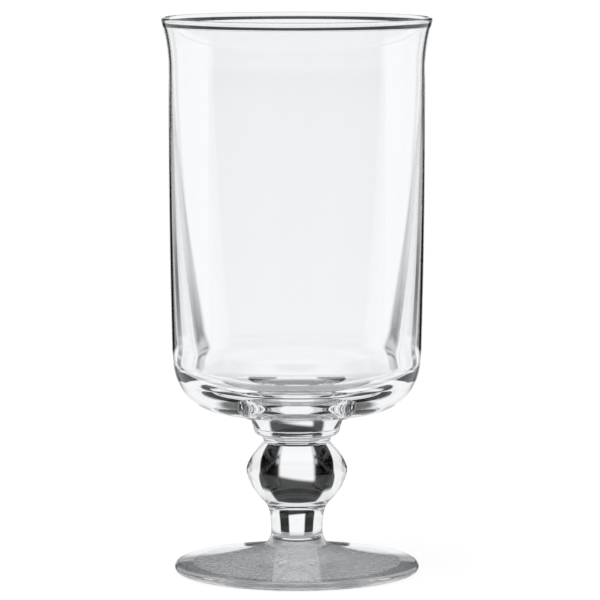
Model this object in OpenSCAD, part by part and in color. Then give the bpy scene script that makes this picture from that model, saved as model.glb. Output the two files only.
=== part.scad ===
// Stemmed goblet in clear glass: bowl, collar, ball, shank and foot, stuck together hot at flat welds.
// Millimetres, standing on the table at z = 0, with the axis of the glass on z.

/* [Foot] */
// Diameter of the foot
foot_d = 78.8; // [66:0.1:92]
// Thickness of the rounded edge of the foot
foot_edge_t = 2.8; // [1.8:0.1:3.4]
// Height of the foot from the table to its weld with the shank
foot_h = 8.6; // [7.4:0.1:14]
// Diameter at which the top of the foot starts to rise steeply
foot_hip_d = 41.5; // [32:0.1:52]
// Slope of the outer part of the top of the foot, in degrees
foot_slope = 6.4; // [3:0.1:8]
// Width of the flat ring that the foot stands on
foot_ring_w = 5; // [3:0.1:9]
// Height of the hollow under the middle of the foot
foot_hollow_h = 0.6; // [0.3:0.1:2.4]
// Diameter of the weld between foot and shank
foot_weld_d = 20.4; // [18:0.1:26]

/* [Shank] */
// Height of the shank between its two welds
shank_h = 13.7; // [11:0.1:20]
// Diameter of the shank at its waist
shank_d = 16.4; // [14:0.1:17.4]
// Height of the waist above the lower weld
shank_waist_h = 4.2; // [3:0.1:7]

/* [Ball] */
// Height of the ball between its two welds
ball_h = 19.3; // [17:0.1:26]
// Diameter of the ball at its widest
ball_d = 32.5; // [28:0.1:36]
// Height of the widest place above the lower weld
ball_belly_h = 10.5; // [9.6:0.1:12.4]
// Diameter of the weld between ball and shank
ball_weld_d = 20.6; // [18:0.1:24]
// Angle at which the underside of the ball leaves the shank, in degrees
ball_tuck_a = 45; // [42:1:54]
// How full the ball is below its widest place, with 0.55 for a quarter circle
ball_under_fullness = 0.63; // [0.5:0.01:0.7]
// How full the ball is above its widest place
ball_top_fullness = 0.52; // [0.45:0.01:0.65]
// Height of the shoulder of the ball, as a share of the height above its widest place
ball_shoulder = 0.45; // [0.3:0.01:0.6]

/* [Collar] */
// Height of the collar from the neck weld to the bowl
collar_h = 8; // [6:0.1:14]
// Diameter of the collar at the foot of its band
collar_d = 28; // [25:0.1:34]
// Diameter of the collar under the bowl
collar_top_d = 29.8; // [26:0.1:36]
// Diameter of the neck, where the ball is welded on
neck_d = 21.3; // [18:0.1:24]
// Height of the band at the top of the collar
collar_band_h = 2.9; // [1:0.1:4]
// How far the band of the collar swells out
collar_swell = 0.2; // [0:0.1:0.6]

/* [Bowl] */
// Height of the bowl from its underside to the lip
bowl_h = 128.4; // [110:0.1:150]
// Outside diameter of the straight side
bowl_d = 81.9; // [78:0.1:92]
// Outside diameter across the lip
lip_d = 86.6; // [80:0.1:98]
// Height over which the side turns out to the lip
flare_h = 16.5; // [8:0.1:22]
// Thickness of the wall in the upper side
wall_t = 1.2; // [1:0.1:2]
// Thickness of the rounded edge of the lip
lip_t = 1.7; // [1.6:0.1:3]
// Height of the thickened edge of the lip
lip_h = 1.6; // [1.4:0.1:4]
// Outside diameter just above the rounded heel
heel_d = 80.2; // [76:0.1:92]
// Height of the rounded heel
heel_h = 24; // [16:0.1:30]
// How far in the rounded heel reaches
heel_w = 14.1; // [8:0.1:20]
// How square the heel is, with 0.55 for a quarter circle
heel_fullness = 0.71; // [0.5:0.01:0.8]
// Rise of the underside from the collar to the heel
under_rise = 2.4; // [1:0.1:5]
// Height above the underside at which the side reaches its full width
side_h = 90.4; // [60:0.1:95]

/* [Cavity] */
// Thickness of the glass under the cavity
floor_t = 9.6; // [7:0.1:14]
// Diameter of the flat floor of the cavity
floor_d = 13.3; // [8:0.1:30]
// Inside diameter at which the cavity starts to round in
cavity_d = 67.2; // [60:0.1:71]
// Height of the rounded bottom of the cavity
cavity_round_h = 9.6; // [7:0.1:18]
// How square the bottom of the cavity is, with 0.55 for a quarter circle
cavity_fullness = 0.7; // [0.5:0.01:0.8]
// Depth below the turned-out part at which the inside of the wall would turn in if it turned sharply
wall_turn_h = 38; // [8:0.1:50]
// How sharply the inside of the wall turns in, with 0.55 for a quarter circle
wall_fullness = 0.6; // [0.2:0.01:0.7]

/* [Hidden] */
$fn = 120;
glass_colour = [0.87, 0.91, 0.93, 0.45];
// Straight steps along a curved stretch of an outline
steps = 14;
// How full a curve is: a quarter circle, and a parabola
circle_full = 0.5523;
parabola_full = 2 / 3;
// Height of the corner under the waist of the shank, as a share of the height of the waist
waist_corner = 1 / 4;

// Heights of the welds above the table
shank_z = foot_h;
ball_z = shank_z + shank_h;
collar_z = ball_z + ball_h;
bowl_z = collar_z + collar_h;

// A curve from p to s that leaves and arrives along the lines to the corner q
function bend(p, q, s, full = circle_full) =
    let (a = p + full * (q - p), b = s + full * (q - s))
    [for (i = [0 : steps])
        let (t = i / steps, u = 1 - t)
        u * u * u * p + 3 * u * u * t * a + 3 * u * t * t * b + t * t * t * s];

// Points of an arc round centre c, between two angles in degrees
function arc(c, r, from, to) =
    [for (i = [0 : steps])
        let (a = from + (to - from) * i / steps)
        c + r * [cos(a), sin(a)]];

module turned(outline) {
    color(glass_colour)
    rotate_extrude()
    polygon(outline);
}

module foot() {
    edge_r = foot_edge_t / 2;
    rim_r = foot_d / 2 - edge_r;
    hollow_r = rim_r - foot_ring_w;
    hip_r = foot_hip_d / 2;
    hip_z = foot_edge_t + (rim_r - hip_r) * tan(foot_slope);
    turned(concat(
        bend([0, foot_hollow_h], [hollow_r / 2, foot_hollow_h], [hollow_r, 0]),
        arc([rim_r, edge_r], edge_r, -90, 90),
        bend([rim_r, foot_edge_t], [hip_r, hip_z], [foot_weld_d / 2, foot_h], parabola_full),
        [[0, foot_h]]
    ));
}

module stem_shank() {
    waist = [shank_d / 2, shank_waist_h];
    tuck_z = shank_h - (ball_weld_d / 2 - waist[0]) * tan(ball_tuck_a);
    translate([0, 0, shank_z])
    turned(concat(
        [[0, 0]],
        bend([foot_weld_d / 2, 0], [waist[0], shank_waist_h * waist_corner], waist),
        bend(waist, [waist[0], tuck_z], [ball_weld_d / 2, shank_h], parabola_full),
        [[0, shank_h]]
    ));
}

module ball_knop() {
    belly = [ball_d / 2, ball_belly_h];
    tuck_z = (belly[0] - ball_weld_d / 2) * tan(ball_tuck_a);
    shoulder_z = ball_belly_h + (ball_h - ball_belly_h) * ball_shoulder;
    translate([0, 0, ball_z])
    turned(concat(
        [[0, 0]],
        bend([ball_weld_d / 2, 0], [belly[0], tuck_z], belly, ball_under_fullness),
        bend(belly, [belly[0], shoulder_z], [neck_d / 2, ball_h], ball_top_fullness),
        [[0, ball_h]]
    ));
}

module stem_collar() {
    neck_r = neck_d / 2;
    disc_r = collar_d / 2;
    top_r = collar_top_d / 2;
    band_z = collar_h - collar_band_h;
    middle = [(neck_r + disc_r) / 2, band_z / 2];
    translate([0, 0, collar_z])
    turned(concat(
        [[0, 0]],
        bend([neck_r, 0], [neck_r, middle[1]], middle),
        bend(middle, [disc_r, middle[1]], [disc_r, band_z]),
        bend([disc_r, band_z], [(disc_r + top_r) / 2 + collar_swell, (band_z + collar_h) / 2],
            [top_r, collar_h], parabola_full),
        [[0, collar_h]]
    ));
}

module bowl() {
    // Underside and heel
    pad = [collar_top_d / 2, 0];
    heel_in = [heel_d / 2 - heel_w, under_rise];
    under_slope = under_rise / (heel_in[0] - pad[0]);
    heel_corner = [heel_d / 2, under_rise + heel_w * under_slope];
    heel_top = [heel_d / 2, heel_h];
    // Side, with the lip turned out
    side = [bowl_d / 2, side_h];
    flare_z = bowl_h - flare_h;
    flare_out = [bowl_d / 2, flare_z];
    flare_in = [bowl_d / 2 - wall_t, flare_z];
    // Rounded edge of the lip, thickened towards the inside
    lip_r = lip_t / 2;
    lip = [lip_d / 2 - lip_r, bowl_h - lip_r];
    lip_a = atan2(lip_d - bowl_d, flare_h);
    across = [cos(lip_a), -sin(lip_a)];
    along = [sin(lip_a), cos(lip_a)];
    lip_out = lip + lip_r * across;
    lip_in = lip - lip_r * across;
    bead_foot = lip_out - wall_t * across - lip_h * along;
    // Cavity
    cavity_top = [cavity_d / 2, floor_t + cavity_round_h];
    floor_edge = [floor_d / 2, floor_t];
    translate([0, 0, bowl_z])
    turned(concat(
        [[0, 0], pad],
        bend(heel_in, heel_corner, heel_top, heel_fullness),
        bend(heel_top, [side[0], (heel_h + side_h) / 2], side, parabola_full),
        bend(flare_out, [flare_out[0], (flare_z + lip_out[1]) / 2], lip_out, parabola_full),
        arc(lip, lip_r, -lip_a, 180 - lip_a),
        bend(lip_in, lip_in - lip_h / 2 * along, bead_foot),
        bend(bead_foot, [flare_in[0], (flare_z + bead_foot[1]) / 2], flare_in, parabola_full),
        bend(flare_in, [flare_in[0], flare_z - wall_turn_h], cavity_top, wall_fullness),
        bend(cavity_top, [cavity_top[0], floor_t], floor_edge, cavity_fullness),
        [[0, floor_t]]
    ));
}

foot();
stem_shank();
ball_knop();
stem_collar();
bowl();
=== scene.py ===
from math import atan2, cos, radians, sin, tan, tau

import bmesh
import bpy
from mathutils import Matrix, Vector


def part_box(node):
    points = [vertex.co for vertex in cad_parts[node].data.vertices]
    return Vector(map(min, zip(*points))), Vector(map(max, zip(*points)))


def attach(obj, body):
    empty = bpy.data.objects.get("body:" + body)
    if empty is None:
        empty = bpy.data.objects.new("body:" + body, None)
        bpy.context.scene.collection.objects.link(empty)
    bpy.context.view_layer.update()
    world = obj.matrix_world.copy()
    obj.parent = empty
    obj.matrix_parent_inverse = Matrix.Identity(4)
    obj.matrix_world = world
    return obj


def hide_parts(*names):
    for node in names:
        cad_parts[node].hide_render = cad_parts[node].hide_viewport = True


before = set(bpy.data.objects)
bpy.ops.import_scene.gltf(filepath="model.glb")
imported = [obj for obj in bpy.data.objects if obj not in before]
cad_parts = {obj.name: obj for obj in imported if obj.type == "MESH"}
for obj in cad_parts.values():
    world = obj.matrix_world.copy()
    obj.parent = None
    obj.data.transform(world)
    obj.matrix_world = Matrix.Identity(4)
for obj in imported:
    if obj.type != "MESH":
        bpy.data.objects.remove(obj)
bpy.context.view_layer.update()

scene = bpy.context.scene
mm = 0.001  # the pieces are written in millimetres, Blender works in metres
circleFull = 0.5523  # how full a curve is: a quarter circle
parabolaFull = 2 / 3
print("frame:", ", ".join(sorted(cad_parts)))


def linear(hexColour):
    # sRGB hex to the linear colour that a shader socket takes
    values = [int(hexColour[i:i + 2], 16) / 255 for i in (1, 3, 5)]
    return [v / 12.92 if v <= 0.04045 else ((v + 0.055) / 1.055) ** 2.4 for v in values] + [1.0]


def addNode(tree, kind, inputs=None, **settings):
    # adds a node, sets its own settings, then sets or links its sockets
    node = tree.nodes.new(kind)
    for name, value in settings.items():
        setattr(node, name, value)
    for socket, value in (inputs or {}).items():
        if isinstance(value, bpy.types.NodeSocket):
            tree.links.new(value, node.inputs[socket])
        else:
            node.inputs[socket].default_value = value
    return node


def bend(start, corner, end, full=circleFull, steps=28):
    # a curve that leaves and arrives along the lines to the corner
    p, q, s = Vector(start), Vector(corner), Vector(end)
    a, b = p.lerp(q, full), s.lerp(q, full)
    points = []
    for i in range(steps + 1):
        t = i / steps
        u = 1 - t
        points.append(u ** 3 * p + 3 * u * u * t * a + 3 * u * t * t * b + t ** 3 * s)
    return points


def arc(centre, radius, fromAngle, toAngle, steps=20):
    points = []
    for i in range(steps + 1):
        angle = fromAngle + (toAngle - fromAngle) * i / steps
        points.append(Vector(centre) + radius * Vector((cos(angle), sin(angle))))
    return points


def heights(node):
    low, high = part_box(node)
    return low.z / mm, high.z / mm


def width(node):
    low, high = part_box(node)
    return (high.x - low.x) / mm


# Soda-lime glass, blown: slow waves left by the blowing bend what is seen through the wall a little
blownGlass = dict(
    name="SodaLimeGlass_BlownFirePolished", tint="#FFFFFF", ior=1.52, polish=(0.0, 0.012),
    rippleSize=(26.0, 26.0, 9.0), rippleDepth=0.012,  # mm: waves are longer round the glass than up it
)
# Soda-lime glass, worked hot: tool marks run round the stem and break up the edges of its highlights
workedGlass = dict(
    name="SodaLimeGlass_HotWorked", tint="#FFFFFF", ior=1.52, polish=(0.0, 0.015),
    rippleSize=(14.0, 14.0, 4.0), rippleDepth=0.008,
)
# Soda-lime glass, pressed: the chilled mould leaves a faint dimple that fire polishing only half melts away
pressedGlass = dict(
    name="SodaLimeGlass_PressedFirePolished", tint="#FFFFFF", ior=1.52, polish=(0.0, 0.02),
    rippleSize=(7.0, 7.0, 7.0), rippleDepth=0.01,
)
# Soda-lime glass, ground flat: a fine matt under the foot that clouds what is below it;
# its grey tint is painted shade, standing for the table that lies in the shadow of the foot
groundGlassPaintedShade = dict(
    name="SodaLimeGlass_GroundFlat_PaintedShade", tint="#D6DBDE", ior=1.52, polish=(0.30, 0.42),
    rippleSize=(1.6, 1.6, 1.6), rippleDepth=0.25,  # mm: the grit is near 0.1, drawn coarser to show
)


def clearGlass(finish):
    material = bpy.data.materials.new(finish["name"])
    material.use_nodes = True
    tree = material.node_tree
    tree.nodes.clear()
    place = addNode(tree, "ShaderNodeTexCoord").outputs["Object"]
    stretch = [1 / (size * mm) for size in finish["rippleSize"]]
    ripplePlace = addNode(tree, "ShaderNodeMapping", {"Vector": place, "Scale": stretch}).outputs[0]
    ripple = addNode(tree, "ShaderNodeTexNoise", {
        "Vector": ripplePlace, "Scale": 1.0, "Detail": 2.0, "Roughness": 0.4})
    bump = addNode(tree, "ShaderNodeBump", {
        "Height": ripple.outputs["Fac"], "Strength": 1.0, "Distance": finish["rippleDepth"] * mm})
    polish = addNode(tree, "ShaderNodeMapRange", {
        "Value": ripple.outputs["Fac"], "From Min": 0.35, "From Max": 0.75,
        "To Min": finish["polish"][0], "To Max": finish["polish"][1]})
    # Base Color takes the tint: plain white for the clear finishes, a painted shade grey for the ground
    # underside
    shader = addNode(tree, "ShaderNodeBsdfPrincipled", {
        "Base Color": linear(finish["tint"]), "Transmission Weight": 1.0, "IOR": finish["ior"],
        "Roughness": polish.outputs[0], "Normal": bump.outputs[0]})
    addNode(tree, "ShaderNodeOutputMaterial", {"Surface": shader.outputs[0]})
    return material


def hotWeld():
    material = bpy.data.materials.new("HotWeld_Fused")
    material.use_nodes = True
    tree = material.node_tree
    tree.nodes.clear()
    shader = addNode(tree, "ShaderNodeBsdfPrincipled", {"Alpha": 0.0, "IOR": 1.0, "Roughness": 0.0})
    addNode(tree, "ShaderNodeOutputMaterial", {"Surface": shader.outputs[0]})
    return material


bowlGlass = clearGlass(blownGlass)
stemGlass = clearGlass(workedGlass)
footGlass = clearGlass(pressedGlass)
footUndersidePaintedShade = clearGlass(groundGlassPaintedShade)
weld = hotWeld()
print("materials: four finishes of clear glass and the fused weld")


def turned(node, glass, outline, bottom=0.0, sides=240):
    # spins an outline of (radius, height) points round the axis; an open end becomes a flat weld disc
    mesh = bpy.data.meshes.new(node + "_turned")
    bm = bmesh.new()
    rings = []
    previous = None
    for point in outline:
        radius, height = point[0] * mm, (bottom + point[1]) * mm
        if previous is not None and (Vector(point) - previous).length < 0.001:
            continue
        previous = Vector(point)
        if radius < 1e-7:
            rings.append([bm.verts.new((0, 0, height))])
        else:
            ring = []
            for i in range(sides):
                angle = tau * i / sides
                ring.append(bm.verts.new((radius * cos(angle), radius * sin(angle), height)))
            rings.append(ring)
    for lower, upper in zip(rings, rings[1:]):
        for i in range(sides):
            j = (i + 1) % sides
            below = [lower[i % len(lower)], lower[j % len(lower)]]
            above = [upper[j % len(upper)], upper[i % len(upper)]]
            bm.faces.new(list(dict.fromkeys(below + above)))  # three corners where a ring is one point
    for ring in (rings[0], rings[-1]):
        if len(ring) == sides:
            middle = bm.verts.new((0, 0, ring[0].co.z))
            for i in range(sides):
                face = bm.faces.new((ring[i], ring[(i + 1) % sides], middle))
                face.material_index = 1
    bmesh.ops.recalc_face_normals(bm, faces=bm.faces)
    bm.to_mesh(mesh)
    bm.free()
    mesh.shade_smooth()
    mesh.set_sharp_from_angle(angle=radians(40))
    mesh.materials.append(glass)
    mesh.materials.append(weld)
    piece = bpy.data.objects.new(node + "_glass", mesh)
    scene.collection.objects.link(piece)
    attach(piece, "root")
    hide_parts(node)
    print("turned:", piece.name, len(mesh.polygons), "faces")
    return piece


# Foot: a shallow cone of pressed glass, hollowed underneath
footShape = dict(edge=2.8, hipWidth=41.5, slope=6.4, ringWidth=5.0, hollow=0.6, weld=20.4)


def makeFoot(shape):
    bottom, top = heights("foot")
    edge = shape["edge"] / 2
    rim = width("foot") / 2 - edge
    hollow = rim - shape["ringWidth"]
    hip = shape["hipWidth"] / 2
    hipHeight = shape["edge"] + (rim - hip) * tan(radians(shape["slope"]))
    outline = (
        bend((0, shape["hollow"]), (hollow / 2, shape["hollow"]), (hollow, 0))
        + arc((rim, edge), edge, -tau / 4, tau / 4)
        + bend((rim, shape["edge"]), (hip, hipHeight), (shape["weld"] / 2, top - bottom), parabolaFull)
    )
    piece = turned("foot", footGlass, outline, bottom)
    # the hollow underside gets the ground finish, whose grey tint is painted shade
    piece.data.materials.append(footUndersidePaintedShade)
    for face in piece.data.polygons:
        if face.normal.z < 0 and face.center.xy.length < hollow * mm:
            face.material_index = 2
    return piece


# Shank: a short waisted rod
shankShape = dict(
    waist=16.4, waistHeight=4.2, waistCorner=0.25, footWeld=20.4, ballWeld=20.6, tuckAngle=45.0,
)


def makeShank(shape):
    bottom, top = heights("stem_shank")
    tall = top - bottom
    waist = (shape["waist"] / 2, shape["waistHeight"])
    tuck = tall - (shape["ballWeld"] / 2 - waist[0]) * tan(radians(shape["tuckAngle"]))
    outline = (
        bend((shape["footWeld"] / 2, 0), (waist[0], waist[1] * shape["waistCorner"]), waist)
        + bend(waist, (waist[0], tuck), (shape["ballWeld"] / 2, tall), parabolaFull)
    )
    return turned("stem_shank", stemGlass, outline, bottom)


# Ball: the solid knop, fuller below its widest place than above it
ballShape = dict(
    bellyHeight=10.5, shankWeld=20.6, neckWeld=21.3, tuckAngle=45.0,
    underFull=0.63, topFull=0.52, shoulder=0.45,
)


def makeBall(shape):
    bottom, top = heights("ball_knop")
    tall = top - bottom
    belly = (width("ball_knop") / 2, shape["bellyHeight"])
    tuck = (belly[0] - shape["shankWeld"] / 2) * tan(radians(shape["tuckAngle"]))
    shoulder = belly[1] + (tall - belly[1]) * shape["shoulder"]
    outline = (
        bend((shape["shankWeld"] / 2, 0), (belly[0], tuck), belly, shape["underFull"])
        + bend(belly, (belly[0], shoulder), (shape["neckWeld"] / 2, tall), shape["topFull"])
    )
    return turned("ball_knop", stemGlass, outline, bottom)


# Collar: the disc that carries the bowl, with a slightly swelled band round its top
collarShape = dict(neck=21.3, disc=28.0, band=2.9, swell=0.2)


def makeCollar(shape):
    bottom, top = heights("stem_collar")
    tall = top - bottom
    neck, disc, rim = shape["neck"] / 2, shape["disc"] / 2, width("stem_collar") / 2
    bandFoot = tall - shape["band"]
    middle = ((neck + disc) / 2, bandFoot / 2)
    swell = ((disc + rim) / 2 + shape["swell"], (bandFoot + tall) / 2)
    outline = (
        bend((neck, 0), (neck, bandFoot / 2), middle)
        + bend(middle, (disc, bandFoot / 2), (disc, bandFoot))
        + bend((disc, bandFoot), swell, (rim, tall), parabolaFull)
    )
    return turned("stem_collar", stemGlass, outline, bottom)


# Bowl: straight sides, a turned-out lip with a thickened edge, and a rounded heel
bowlShape = dict(
    collar=29.8, side=81.9, sideHeight=90.4, flareHeight=16.5, wall=1.2, lipThick=1.7, lipTall=1.6,
    heel=80.2, heelHeight=24.0, heelWidth=14.1, heelFull=0.71, underRise=2.4,
    floorThick=9.6, floorWidth=13.3, cavity=67.2, cavityRound=9.6, cavityFull=0.7,
    wallTurn=38.0, wallFull=0.6,
)


def makeBowl(shape):
    bottom, top = heights("bowl")
    tall = top - bottom
    lipWidth = width("bowl")
    pad = Vector((shape["collar"] / 2, 0))
    heelIn = Vector((shape["heel"] / 2 - shape["heelWidth"], shape["underRise"]))
    underSlope = shape["underRise"] / (heelIn.x - pad.x)
    heelCorner = (shape["heel"] / 2, shape["underRise"] + shape["heelWidth"] * underSlope)
    heelTop = (shape["heel"] / 2, shape["heelHeight"])
    side = shape["side"] / 2
    sideTurn = (shape["heelHeight"] + shape["sideHeight"]) / 2
    flareFoot = tall - shape["flareHeight"]
    lipRound = shape["lipThick"] / 2
    lip = Vector((lipWidth / 2 - lipRound, tall - lipRound))
    lipAngle = atan2(lipWidth - shape["side"], shape["flareHeight"])
    across = Vector((cos(lipAngle), -sin(lipAngle)))
    along = Vector((sin(lipAngle), cos(lipAngle)))
    lipOut, lipIn = lip + lipRound * across, lip - lipRound * across
    beadFoot = lipOut - shape["wall"] * across - shape["lipTall"] * along
    inside = side - shape["wall"]
    wallTurn = (inside, flareFoot - shape["wallTurn"])
    cavityTop = (shape["cavity"] / 2, shape["floorThick"] + shape["cavityRound"])
    floorEdge = (shape["floorWidth"] / 2, shape["floorThick"])
    outline = (
        [pad]
        + bend(heelIn, heelCorner, heelTop, shape["heelFull"], 40)
        + bend(heelTop, (side, sideTurn), (side, shape["sideHeight"]), parabolaFull)
        + bend((side, flareFoot), (side, (flareFoot + lipOut.y) / 2), lipOut, parabolaFull)
        + arc(lip, lipRound, -lipAngle, tau / 2 - lipAngle)
        + bend(lipIn, lipIn - shape["lipTall"] / 2 * along, beadFoot)
        + bend(beadFoot, (inside, (flareFoot + beadFoot.y) / 2), (inside, flareFoot), parabolaFull)
        + bend((inside, flareFoot), wallTurn, cavityTop, shape["wallFull"], 40)
        + bend(cavityTop, (cavityTop[0], floorEdge[1]), floorEdge, shape["cavityFull"], 40)
        + [Vector((0, floorEdge[1]))]
    )
    return turned("bowl", bowlGlass, outline, bottom, sides=288)


makeFoot(footShape)
makeShank(shankShape)
makeBall(ballShape)
makeCollar(collarShape)
makeBowl(bowlShape)


# Floor: white, and bright to the camera, but still holding the shadow of the foot
floorLook = dict(name="WhitePaperSweep_Matt", colour="#F4F4F4", size=12000.0, glow=0.9, gap=0.2)


def makeFloor(look):
    mesh = bpy.data.meshes.new("floor")
    half = look["size"] / 2 * mm
    corners = [(-half, -half, 0), (half, -half, 0), (half, half, 0), (-half, half, 0)]
    mesh.from_pydata(corners, [], [(0, 1, 2, 3)])
    floor = bpy.data.objects.new("floor", mesh)
    floor.location.z = -look["gap"] * mm  # just clear of the ring that the foot stands on
    scene.collection.objects.link(floor)
    floor.visible_transmission = False  # the glass sees the studio below
    floor.visible_glossy = False
    material = bpy.data.materials.new(look["name"])
    material.use_nodes = True
    tree = material.node_tree
    tree.nodes.clear()
    matt = addNode(tree, "ShaderNodeBsdfDiffuse", {"Color": linear(look["colour"])})
    white = addNode(tree, "ShaderNodeEmission", {"Strength": 1.0})
    blend = addNode(tree, "ShaderNodeMixShader", {0: look["glow"], 1: matt.outputs[0], 2: white.outputs[0]})
    addNode(tree, "ShaderNodeOutputMaterial", {"Surface": blend.outputs[0]})
    mesh.materials.append(material)
    print("floor:", look["name"])
    return floor


makeFloor(floorLook)

# Studio: bright panels and a white table round the glass, with dark gaps between them that draw its edges.
# Angles in degrees: azimuth 0 is straight behind the glass and 90 to its right, low and high are elevations,
# soft is the width of a panel's fading edge, and tilt slants its upper edge
studioPanels = {
    "backSweep": dict(azimuth=0, half=14.6, low=-50, high=6.1, soft=4.0, level=1.0, tilt=-0.15),
    "greySweep": dict(azimuth=0, half=40, low=-14, high=-9, soft=3.0, level=0.48, tilt=0),
    "rightSide": dict(azimuth=42.3, half=15.7, low=-50, high=66, soft=5.0, level=0.95, tilt=0),
    "leftSide": dict(azimuth=-42.3, half=15.7, low=-50, high=66, soft=5.0, level=0.95, tilt=0),
    "rightLow": dict(azimuth=60.3, half=33.7, low=-50, high=10, soft=5.0, level=0.95, tilt=0),
    "leftLow": dict(azimuth=-60.3, half=33.7, low=-50, high=10, soft=5.0, level=0.95, tilt=0),
    "overhead": dict(azimuth=0, half=200, low=41, high=100, soft=4.0, level=0.85, tilt=0),
    "table": dict(azimuth=0, half=200, low=-50, high=-17, soft=4.0, level=0.7, tilt=0),
    "underTable": dict(azimuth=0, half=200, low=-100, high=-50, soft=10.0, level=0.5, tilt=0),
    "frontTable": dict(azimuth=180, half=88, low=-50, high=-5, soft=10.0, level=0.55, tilt=0),
}
roomLevel = 0.025
studioTint = "#FBFCFE"  # daylight tubes, a touch cool


def makeStudio(panels):
    world = bpy.data.worlds.new("studio")
    scene.world = world
    world.use_nodes = True
    tree = world.node_tree
    tree.nodes.clear()
    ray = addNode(tree, "ShaderNodeTexCoord").outputs["Generated"]
    axes = addNode(tree, "ShaderNodeSeparateXYZ", {0: ray})
    turn = addNode(tree, "ShaderNodeMath", {0: axes.outputs[0], 1: axes.outputs[1]}, operation="ARCTAN2")
    rise = addNode(tree, "ShaderNodeMath", {0: axes.outputs[2]}, operation="ARCSINE")
    azimuth = addNode(tree, "ShaderNodeMath", {0: turn.outputs[0]}, operation="DEGREES").outputs[0]
    elevation = addNode(tree, "ShaderNodeMath", {0: rise.outputs[0]}, operation="DEGREES").outputs[0]
    light = roomLevel
    for panel in panels.values():
        offset = addNode(tree, "ShaderNodeMath", {0: azimuth, 1: panel["azimuth"]}, operation="SUBTRACT")
        wrapped = addNode(tree, "ShaderNodeMath", {
            0: offset.outputs[0], 1: 180.0, 2: -180.0}, operation="WRAP")
        away = addNode(tree, "ShaderNodeMath", {0: wrapped.outputs[0]}, operation="ABSOLUTE")
        tilted = addNode(tree, "ShaderNodeMath", {
            0: wrapped.outputs[0], 1: -panel["tilt"], 2: elevation}, operation="MULTIPLY_ADD")
        fading = panel["soft"] / 2
        edges = (
            (away.outputs[0], panel["half"] + fading, panel["half"] - fading),
            (elevation, panel["low"] - fading, panel["low"] + fading),
            (tilted.outputs[0], panel["high"] + fading, panel["high"] - fading),
        )
        shade = panel["level"]
        for value, dark, lit in edges:
            fade = addNode(tree, "ShaderNodeMapRange", {
                "Value": value, "From Min": dark, "From Max": lit}, interpolation_type="SMOOTHSTEP")
            shade = addNode(tree, "ShaderNodeMath", {
                0: shade, 1: fade.outputs[0]}, operation="MULTIPLY").outputs[0]
        light = addNode(tree, "ShaderNodeMath", {0: shade, 1: light}, operation="MAXIMUM").outputs[0]
    path = addNode(tree, "ShaderNodeLightPath")
    studio = addNode(tree, "ShaderNodeBackground", {"Color": linear(studioTint), "Strength": light})
    backdrop = addNode(tree, "ShaderNodeBackground", {"Color": linear("#FFFFFF"), "Strength": 1.0})
    back = addNode(tree, "ShaderNodeMixShader", {
        0: path.outputs["Is Camera Ray"], 1: studio.outputs[0], 2: backdrop.outputs[0]})
    addNode(tree, "ShaderNodeOutputWorld", {"Surface": back.outputs[0]})
    print("studio:", ", ".join(panels))


makeStudio(studioPanels)


# Nets: two strips of black net close behind the stem, left and right, whose images darken the ball
netLook = dict(
    name="BlackNet_Matt", colour="#050505", distance=45.0, tall=43.0,
    fromAngle=9.0, toAngle=23.0, softAngle=2.0, softTop=5.0,
)


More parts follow.
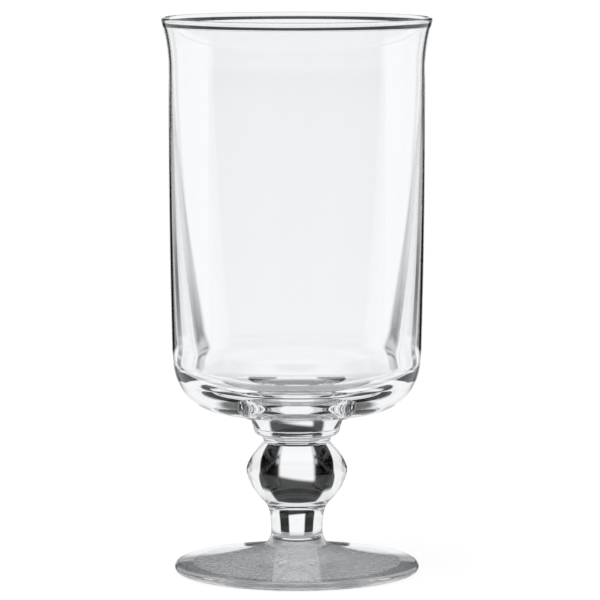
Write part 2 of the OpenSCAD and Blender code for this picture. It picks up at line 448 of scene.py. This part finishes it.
def makeNet(look, side, steps=24):
    mesh = bpy.data.meshes.new("net")
    reach = look["softAngle"] / 2
    first, last = look["fromAngle"] - reach, look["toAngle"] + reach
    top = look["tall"] + look["softTop"] / 2
    corners = []
    for i in range(steps + 1):
        angle = radians(first + (last - first) * i / steps)
        x = side * look["distance"] * sin(angle) * mm
        y = look["distance"] * cos(angle) * mm
        corners += [(x, y, 0), (x, y, top * mm)]
    faces = [(2 * i, 2 * i + 2, 2 * i + 3, 2 * i + 1) for i in range(steps)]
    mesh.from_pydata(corners, [], faces)
    net = bpy.data.objects.new("net_left" if side < 0 else "net_right", mesh)
    scene.collection.objects.link(net)
    net.visible_camera = False
    net.visible_shadow = False
    net.visible_diffuse = False
    material = bpy.data.materials.new(look["name"])
    material.use_nodes = True
    tree = material.node_tree
    tree.nodes.clear()
    place = addNode(tree, "ShaderNodeTexCoord").outputs["Object"]
    axes = addNode(tree, "ShaderNodeSeparateXYZ", {0: place})
    across = addNode(tree, "ShaderNodeMath", {0: axes.outputs[0]}, operation="ABSOLUTE")
    turn = addNode(tree, "ShaderNodeMath", {0: across.outputs[0], 1: axes.outputs[1]}, operation="ARCTAN2")
    azimuth = addNode(tree, "ShaderNodeMath", {0: turn.outputs[0]}, operation="DEGREES").outputs[0]
    fades = (
        (azimuth, first, first + 2 * reach),
        (azimuth, last, last - 2 * reach),
        (axes.outputs[2], top * mm, (top - look["softTop"]) * mm),
    )
    cover = None
    for value, clear, dense in fades:
        fade = addNode(tree, "ShaderNodeMapRange", {
            "Value": value, "From Min": clear, "From Max": dense}, interpolation_type="SMOOTHSTEP").outputs[0]
        if cover is None:
            cover = fade
        else:
            cover = addNode(tree, "ShaderNodeMath", {0: cover, 1: fade}, operation="MULTIPLY").outputs[0]
    gap = addNode(tree, "ShaderNodeBsdfTransparent")
    black = addNode(tree, "ShaderNodeBsdfDiffuse", {"Color": linear(look["colour"])})
    weave = addNode(tree, "ShaderNodeMixShader", {0: cover, 1: gap.outputs[0], 2: black.outputs[0]})
    addNode(tree, "ShaderNodeOutputMaterial", {"Surface": weave.outputs[0]})
    mesh.materials.append(material)
    print("net:", net.name)
    return net


makeNet(netLook, 1)
makeNet(netLook, -1)

# Overhead lamp: a wide soft light that lays a faint shadow on the floor
lampLook = dict(energy=3.3, spread=50.0, lean=(12.0, -10.0))
lamp = bpy.data.lights.new("overheadSoftbox", "SUN")
lamp.energy = lampLook["energy"]
lamp.angle = radians(lampLook["spread"])
lampHolder = bpy.data.objects.new("overheadSoftbox", lamp)
lampHolder.rotation_euler = (radians(lampLook["lean"][0]), radians(lampLook["lean"][1]), 0)
lampHolder.visible_glossy = False
lampHolder.visible_transmission = False
scene.collection.objects.link(lampHolder)

# Camera, where the photograph was taken from
view = dict(place=(1.0, -1275.0, 231.0), tilt=6.4215, lens=240.2)
camera = bpy.data.cameras.new("camera")
camera.lens = view["lens"]
camera.sensor_width = 36.0
cameraHolder = bpy.data.objects.new("camera", camera)
cameraHolder.location = Vector(view["place"]) * mm
cameraHolder.rotation_euler = (radians(90 - view["tilt"]), 0, 0)
scene.collection.objects.link(cameraHolder)
scene.camera = cameraHolder
print("camera and lamp set")

scene.view_settings.view_transform = "Standard"
# light crosses many faces in a stem of solid pieces
scene.cycles.max_bounces = 12
scene.cycles.transmission_bounces = 12
scene.cycles.glossy_bounces = 12
scene.cycles.transparent_max_bounces = 16
